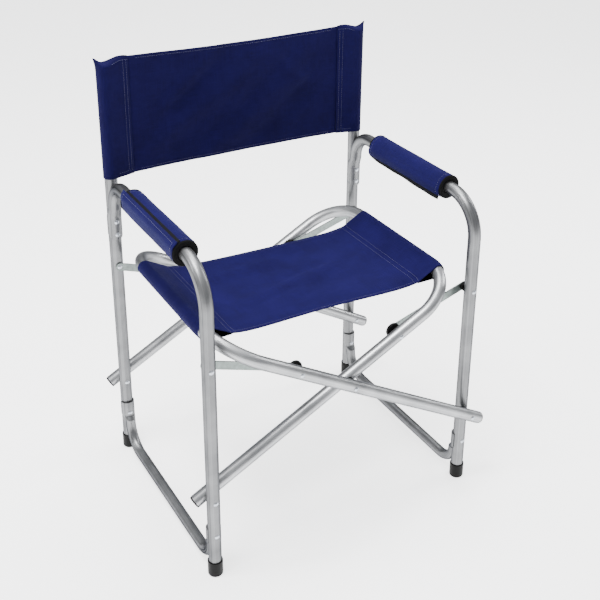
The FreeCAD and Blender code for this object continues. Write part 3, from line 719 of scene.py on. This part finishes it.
def back_pocket(side):
    """The pocket round one upright, sewn shut at the top. That lifts its outer corner to an ear."""
    z_low, z_high = back_range()
    sign = 1 if side == "left" else -1
    profile = resample(pocket_profile(BACK_FLAP, SNUG + 0.25 * MM, BACK_LAYERS), 2.0 * MM)
    u = arc_lengths(profile)
    share = u / u[-1]
    from_seam = u[-1] / 2 * (1 - np.abs(2 * share - 1))
    past_flap = np.clip(from_seam - BACK_FLAP, 0, None)
    flat_x = BACK_FLAP - np.minimum(from_seam, BACK_FLAP) - EAR_OUT * past_flap
    flat_y = BACK_LAYERS * np.clip((share - 0.5) * 12, -1, 1)
    top_edge = z_high + np.interp(from_seam, *TOP_EDGE)
    row_share = 1 - (1 - np.linspace(0, 1, POCKET_GRID_ROWS)) ** 1.6    # closer towards the top
    points = np.zeros((len(row_share), len(profile), 3))
    for k, row in enumerate(row_share):
        z = z_low + (top_edge - z_low) * row
        widen = np.clip((z - FLATTEN_FROM) / (top_edge - FLATTEN_FROM), 0, 1) ** 2
        close = np.clip((z - CLOSE_FROM) / (top_edge - CLOSE_FROM), 0, 1) ** 3
        x = profile[:, 0] + (flat_x - profile[:, 0]) * widen
        y = profile[:, 1] + (flat_y - profile[:, 1]) * close
        axis = np.array([on_upright(side, height) for height in z])
        points[k] = np.stack([axis[:, 0] + sign * x, axis[:, 1] - y, z], axis=1)
    wrinkle = soft_noise(points * np.array([1, 1, 0.45]), WRINKLE_SIZE, WRINKLE_SEED[side])
    off_tube = np.clip((28 * MM - from_seam) / (10 * MM), 0, 1)
    off_tube *= np.clip(from_seam / (9 * MM), 0, 1)
    points += grid_normals(points) * (wrinkle * WRINKLE_HEIGHT * off_tube[None, :])[:, :, None]
    v = z_low + (z_high - z_low) * row_share
    ordered = points if side == "left" else points[:, ::-1]
    length = u if side == "left" else u[-1] - u[::-1]
    name = f"back_cloth_pocket_{side}"
    piece = cloth_from_grid(name, ordered, (length, v), CLOTH, back_painted_shade_cloth_material, lining_material)
    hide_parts(f"{side}_back_sleeve")
    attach(piece, f"{side}_side")
    seam = u[-1] if side == "left" else 0
    rows = [grid_line(ordered, slice(2, -8), nearest(np.abs(length - seam), at))
            for at in BACK_STITCH_ROWS]
    hem = np.abs(length - seam) < BACK_HEM_REACH
    rows += [grid_line(ordered, row, hem) for row in hem_rows(v)]
    stitches(f"back_stitches_{side}", rows, thread_material, f"{side}_side")


def back_panel():
    """The middle of the back, slack enough to hang in soft folds."""
    z_low, z_high = back_range()
    rows, columns = BACK_GRID
    inset = BACK_FLAP - BACK_OVERLAP
    points = np.zeros((rows, columns, 3))
    across = np.linspace(0, 1, columns)
    up = np.linspace(0, 1, rows)
    bow = np.sin(math.pi * across)
    for k in range(rows):
        z = z_low + (z_high - z_low) * up[k]
        left, right = on_upright("left", z), on_upright("right", z)
        a = left + np.array([inset, 0, 0])
        b = right - np.array([inset, 0, 0])
        points[k] = a + (b - a) * across[:, None]
        points[k, :, 2] -= bow * np.interp(up[k], (0, 1), BACK_SAG)
        points[k, :, 1] += bow ** 0.8 * BACK_BOW * (1 + BACK_BOW_LOWER * (1 - up[k]))
    free = np.clip(bow * 2.4 - 0.35, 0, 1)
    slant = points.copy()
    c, s = BACK_SLANT
    slant[:, :, 0] = c * points[:, :, 0] - s * points[:, :, 2]
    slant[:, :, 2] = BACK_STRETCH * (s * points[:, :, 0] + c * points[:, :, 2])
    slack = sum(soft_noise(slant, size, seed) * height for size, seed, height in BACK_SLACK)
    edge_free = 0.25 + 0.75 * np.clip(np.sin(math.pi * up) * 2.2, 0, 1)
    place_x, place_z = points[:, :, 0], points[:, :, 2] - z_low
    for fold in BACK_FOLDS:
        points[:, :, 1] -= crease(place_x, place_z, *fold) * free[None, :]
    points[:, :, 1] += slack * free[None, :] * edge_free[:, None]
    u = arc_lengths(points[rows // 2])
    v = z_low + (z_high - z_low) * up
    piece = cloth_from_grid("back_cloth_panel", points, (u, v), CLOTH, back_painted_shade_cloth_material,
                            lining_material)
    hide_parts("back_panel")
    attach(piece, "left_side")
    anchor = on_upright("left", (z_low + z_high) / 2)
    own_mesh(piece)
    hems = [grid_line(points, row, slice(9, columns - 9)) for row in hem_rows(v)]
    hem = stitches("back_stitches_hems", hems, thread_material, "left_side")
    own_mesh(hem)


# --- the armrests --------------------------------------------------------------------------------
PAD_R = 20.4 * MM
# Where the cover's hidden edge lies, in degrees from +X.
OPENING = {"left": 138.0, "right": 194.0}
# Slack past the CAD cover's size, front and rear.
PAD_STRETCH = {"left": (0.0, 0.0), "right": (6 * MM, 0.0)}
FOAM_BULGE = 0.9 * MM               # how far the foam's ends stand over the cover's inside
FOAM_OUT = 3.0 * MM                 # how far the foam stands out of the cover at each end
FOAM_CORNER = 1.6 * MM              # how much the foam's corners are cut
FOAM_UNDER = 1.0 * MM               # how far the foam under the cover lies inside it
FOAM_STEP = (0.6 * MM, -0.6 * MM)   # where the step down to that starts and ends, past the cover's end
FOAM_EVEN = 1.4 * MM                # how far inside the cover's end its even rings start
FOAM_HOLE = TUBE_R + 0.25 * MM
FOAM_ROUGH = 0.3 * MM
FOAM_SIDES, FOAM_RINGS = 72, 30
WRAP_TURN = {"left": -1, "right": 1}
OVERLAP = 18.0                      # degrees that the cover's outer edge laps over its start
LAP_RISE = 2.5 * MM                 # how far the lapped edge lies out from the layer below it
# Rows of stitches along the cover, in degrees from its hidden edge.
COVER_STITCH_ROWS = {"left": (360 + OVERLAP - 12,), "right": ()}
# How far the outer edge stands up, and how far its front and rear corners stick out.
COVER_LIFT = {"left": 1.6 * MM, "right": 0.5 * MM}
CORNER = {"left": (1.5 * MM, 6.0 * MM), "right": (1.0 * MM, 2.0 * MM)}
# Waves in the cover: the size, a seed for each side and the height of the broad and the fine ones.
COVER_SEED = {"left": 31, "right": 32}
COVER_BROAD, COVER_FINE = (0.026, 0.6 * MM), (0.009, 0.12 * MM)
END_TUCK = 0.7 * MM                 # how far the cover's ends draw in
TAPE_HIDDEN = 8.5 * MM              # how much of the tape lies between the cover's two layers
TAPE_SHOWN = {"left": 5.0 * MM, "right": 10.0 * MM}
TAPE_SWAY = {"left": 0.1, "right": 0.6}         # how unevenly it shows along the pad
TAPE_POINT = {"left": 0.1, "right": 0.7}        # how much it narrows towards the rear
TAPE_FLARE = {"left": 4.0, "right": 58.0}       # degrees that the shown part turns away from the pad
TAPE_LIFT = 1.55 * MM               # how far it lies out from the cover's inner layer
TAPE_THICK = 0.8 * MM
COVER_GRID, TAPE_GRID = (96, 120), (80, 24)     # rows and columns


def pad_axis(side):
    """A pad's middle in x and z, and its front and rear ends in y."""
    low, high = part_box(f"{side}_armrest_cover")
    centre = (low + high) / 2
    front, back = PAD_STRETCH[side]
    return centre.x, centre.z, low.y - front, high.y + back


def armrest_foam(side):
    """A foam sleeve with rounded ends that stand a little out of the cover."""
    x, z, front, back = pad_axis(side)
    inner, outer, full = FOAM_HOLE, PAD_R - FOAM_UNDER, PAD_R + FOAM_BULGE
    corner, (step_out, step_in) = FOAM_CORNER, FOAM_STEP
    covered = np.linspace(front + FOAM_EVEN, back - FOAM_EVEN, FOAM_RINGS + 1)[1:-1]
    low, high = front - FOAM_OUT, back + FOAM_OUT
    section = [(low + corner, inner), (low, inner + corner), (low, full - corner),
               (low + corner, full), (front - step_out, full), (front - step_in, outer)]
    section += [(y, outer) for y in covered]
    section += [(back + step_in, outer), (back + step_out, full), (high - corner, full),
                (high, full - corner), (high, inner + corner), (high - corner, inner)]
    count = len(section)
    vertices, faces = [], []
    for k in range(FOAM_SIDES):
        a = 2 * math.pi * k / FOAM_SIDES
        for y, r in section:
            bump = noise.noise(Vector((math.cos(a) * 2, y * 30, math.sin(a) * 2)))
            radius = r + FOAM_ROUGH * bump * (r > inner + corner / 2)
            vertices.append((x + radius * math.cos(a), y, z + radius * math.sin(a)))
        own, following = k * count, (k + 1) % FOAM_SIDES * count
        for j in range(count):
            ahead = (j + 1) % count
            faces.append((own + j, own + ahead, following + ahead, following + j))
    piece = new_object(f"{side}_armrest_foam_sleeve", vertices, faces, [foam_material])
    bevel = piece.modifiers.new("round", "BEVEL")
    bevel.width = 0.7 * MM
    bevel.segments = 3
    bevel.angle_limit = math.radians(30)
    bevel.limit_method = "ANGLE"
    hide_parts(f"{side}_armrest_foam")
    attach(piece, f"{side}_side")


def wrap_angles(side, degrees):
    """Angles round a pad, from +X, for degrees from the cover's hidden edge the way it is wrapped."""
    return np.radians(OPENING[side] + WRAP_TURN[side] * degrees)


def armrest_cover(side):
    """A cloth cover wrapped once round the foam. Its outer edge laps over its start and stands up."""
    x, z, front, back = pad_axis(side)
    rows, columns = COVER_GRID
    degrees = np.linspace(0, 360 + OVERLAP, columns)
    angles = wrap_angles(side, degrees)
    lap = np.clip((degrees - 325) / 30, 0, 1)
    edge = np.clip((degrees - 360) / OVERLAP, 0, 1)
    radius = PAD_R + LAP_RISE * lap * lap * (3 - 2 * lap) + COVER_LIFT[side] * edge ** 2
    along = np.linspace(0, 1, rows)
    y = front + (back - front) * along
    points = np.zeros((rows, columns, 3))
    seed = COVER_SEED[side]
    front_corner, back_corner = CORNER[side]
    longer = (back_corner * along ** 12 - front_corner * (1 - along) ** 12)[:, None]
    points[:, :, 1] = y[:, None] + longer * np.clip((degrees - 330) / 40, 0, 1)[None, :]
    soften = 0.5 * MM * np.cos(3 * angles + seed)
    points[:, :, 0] = x + (radius + soften) * np.cos(angles)
    points[:, :, 2] = z + (radius + soften) * np.sin(angles)
    stretched = points * np.array([1, 0.45, 1])
    (size, height), (fine_size, fine_height) = COVER_BROAD, COVER_FINE
    wave = (soft_noise(stretched, size, seed) + 0.5) * height
    wave += soft_noise(stretched, fine_size, seed) * fine_height
    end_tuck = END_TUCK * (np.exp(-(along / 0.02) ** 2) + np.exp(-((1 - along) / 0.02) ** 2))
    turn = WRAP_TURN[side]
    normals = grid_normals(points) * (-turn)
    points += normals * (np.clip(wave, 0, None) - end_tuck[:, None])[:, :, None]
    lengths = arc_lengths(points[rows // 2])
    if turn > 0:
        points, degrees, lengths = points[:, ::-1], degrees[::-1], lengths[-1] - lengths[::-1]
    piece = cloth_from_grid(f"{side}_armrest_cloth", points, (lengths, y - front), CLOTH,
                            arm_cloth_material, lining_material)
    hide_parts(f"{side}_armrest_cover")
    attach(piece, f"{side}_side")
    shown = (degrees > 14) & (degrees < 360 + OVERLAP - 8)
    sewn = [grid_line(points, slice(2, -2), nearest(degrees, at)) for at in COVER_STITCH_ROWS[side]]
    sewn += [grid_line(points, row, shown) for row in (3, rows - 4)]
    stitches(f"{side}_armrest_stitches", sewn, thread_material, f"{side}_side")


def armrest_tape(side):
    """The black tape between the cover's two layers. It shows beside the outer edge.

    On the right pad it turns away as a lip.
    """
    x, z, front, back = pad_axis(side)
    shown = TAPE_SHOWN[side]
    rows, columns = TAPE_GRID
    steps = np.linspace(0, 1, columns)
    along = np.linspace(0, 1, rows)
    y = front + (back - front) * along
    sway = 0.22 * np.sin(9 * along) + 0.1 * np.sin(23 * along)
    points = np.zeros((rows, columns, 3))
    turn = WRAP_TURN[side]
    edge_angle = float(wrap_angles(side, OVERLAP + 360))
    radius = PAD_R + TAPE_LIFT
    leave = np.array([math.cos(edge_angle), math.sin(edge_angle)])
    tangent = np.array([-math.sin(edge_angle), math.cos(edge_angle)]) * turn
    flare = math.radians(TAPE_FLARE[side])
    outwards = tangent * math.cos(flare) + leave * math.sin(flare)
    for k in range(rows):
        taper = 1 - TAPE_POINT[side] * along[k] ** 5
        reach = shown * (1 + TAPE_SWAY[side] * sway[k]) * taper
        for j, step in enumerate(steps):
            if step < 0.5:
                a = edge_angle - turn * TAPE_HIDDEN / PAD_R * (1 - step / 0.5)
                across, up = radius * math.cos(a), radius * math.sin(a)
            else:
                out = reach * (step - 0.5) / 0.5
                bend = out * out / (2 * PAD_R)
                across, up = radius * leave + outwards * out - leave * bend
            points[k, j] = x + across, y[k], z + up
    ordered = points[:, ::-1] if turn > 0 else points
    lengths = arc_lengths(ordered[0])
    piece = cloth_from_grid(f"{side}_armrest_tape", ordered, (lengths, y - front), TAPE_THICK,
                            tape_material, tape_material)
    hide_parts(f"{side}_armrest_closure")
    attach(piece, f"{side}_side")


# --- stage ---------------------------------------------------------------------------------------
# The camera: its place in metres, its angles in degrees, its lens and sensor in millimetres.
CAMERA_PLACE = (-0.7528, -1.2879, 1.2373)
CAMERA_AZIMUTH, CAMERA_ELEVATION, CAMERA_ROLL = -30.81, 28.25, 1.12
CAMERA_LENS = 58.7
CAMERA_SHIFT = -0.0667
CAMERA_SENSOR = 36.0


def make_camera():
    data = bpy.data.cameras.new("camera")
    data.lens = CAMERA_LENS
    data.sensor_width = CAMERA_SENSOR
    data.shift_y = CAMERA_SHIFT
    camera = bpy.data.objects.new("camera", data)
    a, e, r = (math.radians(v) for v in (CAMERA_AZIMUTH, CAMERA_ELEVATION, CAMERA_ROLL))
    back = Vector((math.sin(a) * math.cos(e), -math.cos(a) * math.cos(e), math.sin(e)))
    right = (-back).cross(Vector((0, 0, 1))).normalized()
    up = right.cross(-back)
    rolled_right = right * math.cos(r) + up * math.sin(r)
    rolled_up = up * math.cos(r) - right * math.sin(r)
    camera.matrix_world = Matrix((rolled_right, rolled_up, back)).transposed().to_4x4()
    camera.location = CAMERA_PLACE
    bpy.context.scene.collection.objects.link(camera)
    bpy.context.scene.camera = camera


FLOOR_HALF = 14.0
# The sky's strength, from its value near the horizon to that overhead.
SKY = {"From Min": 0.1, "From Max": 0.9, "To Min": 0.25, "To Max": 1.15}
SKY_COLOUR = (0.95, 0.97, 1.0, 1.0)
# Soft lights: name, place, target, size and watts.
LIGHTS = [
    ("key", (-0.8, -0.15, 2.8), (0, 0, 0.35), (0.9, 0.7), 95),
    ("top", (0.3, 0.7, 2.8), (0, 0, 0.3), (1.4, 1.4), 70),
    ("side", (2.4, 0.0, 1.5), (0, 0, 0.4), (0.35, 1.2), 30),
    ("left", (-2.3, 0.6, 1.6), (0, 0, 0.4), (0.35, 1.2), 20),
]


def area_light(name, place, target, size, power):
    data = bpy.data.lights.new(name, "AREA")
    data.shape = "RECTANGLE"
    data.size, data.size_y = size
    data.energy = power
    light = bpy.data.objects.new(name, data)
    light.location = place
    direction = Vector(target) - Vector(place)
    light.rotation_euler = direction.to_track_quat("-Z", "Y").to_euler()
    bpy.context.scene.collection.objects.link(light)


def make_stage():
    corners = [(x * FLOOR_HALF, y * FLOOR_HALF, 0) for x, y in ((-1, -1), (1, -1), (1, 1), (-1, 1))]
    floor = new_object("floor", corners, [(0, 1, 2, 3)], [pale_floor("pale_floor")], smooth=False)
    world = bpy.data.worlds.new("studio")
    world.use_nodes = True
    tree = world.node_tree
    direction = tree.nodes.new("ShaderNodeTexCoord").outputs["Generated"]
    parts = tree.nodes.new("ShaderNodeSeparateXYZ")
    ramp = tree.nodes.new("ShaderNodeMapRange")
    tree.links.new(direction, parts.inputs[0])
    tree.links.new(parts.outputs[2], ramp.inputs["Value"])
    for key, value in SKY.items():
        ramp.inputs[key].default_value = value
    background = tree.nodes["Background"]
    background.inputs["Color"].default_value = SKY_COLOUR
    tree.links.new(ramp.outputs[0], background.inputs["Strength"])
    bpy.context.scene.world = world
    for light in LIGHTS:
        area_light(*light)


dress_cad_nodes()
for name in SEAT_ACROSS:
    seat_frame_plugs(name)
make_seat()
for side in SIDE_ACROSS:
    back_pocket(side)
back_panel()
for side in SIDE_ACROSS:
    armrest_foam(side)
    armrest_cover(side)
    armrest_tape(side)
make_camera()
make_stage()
